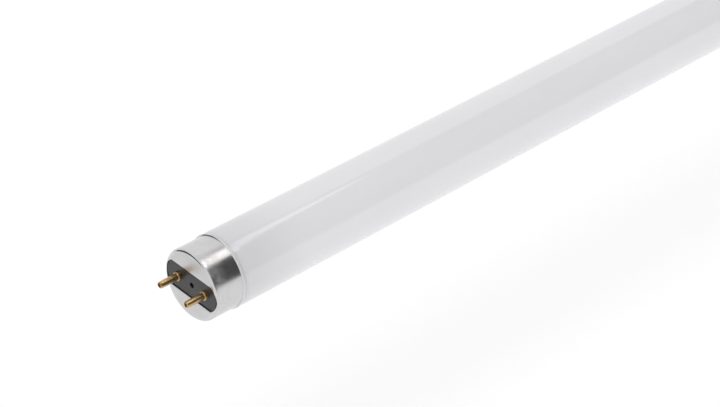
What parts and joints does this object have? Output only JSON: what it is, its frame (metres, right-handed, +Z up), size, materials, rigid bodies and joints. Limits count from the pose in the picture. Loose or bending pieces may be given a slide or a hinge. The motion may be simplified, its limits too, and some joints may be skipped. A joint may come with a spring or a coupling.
{
  "type": "fluorescent tube",
  "caption": "Straight white glass lamp tube with a flared aluminium cap on each end; brass contact pins stand through a dark insulator strip and hold it between lampholders.",
  "frame": {"origin": "centre of the tube, midway between the faces of the caps", "axes": "+X along the tube, +Y along each pair of pins, +Z up"},
  "size_m": [0.604, 0.026, 0.026],
  "materials": {
    "coated_glass": "clear glossy glass over a matte white coating on its inside, opaque",
    "cap_aluminium": "bright drawn sheet with faint draw lines and handling marks",
    "insulator_plate": "matte dark grey moulded board",
    "pin_brass": "drawn brass, lightly streaked",
    "basing_cement": "dull baked resin cement",
    "lead_wire": "plain drawn wire"
  },
  "bodies": {
    "root": {"glass_tube": "coated_glass", "left_cap_shell": "cap_aluminium", "left_insulator": "insulator_plate", "left_cement_ring": "basing_cement", "left_front_pin": "pin_brass", "left_front_lead_wire": "lead_wire", "left_back_pin": "pin_brass", "left_back_lead_wire": "lead_wire", "right_cap_shell": "cap_aluminium", "right_insulator": "insulator_plate", "right_cement_ring": "basing_cement", "right_front_pin": "pin_brass", "right_front_lead_wire": "lead_wire", "right_back_pin": "pin_brass", "right_back_lead_wire": "lead_wire"}
  },
  "joints": []
}
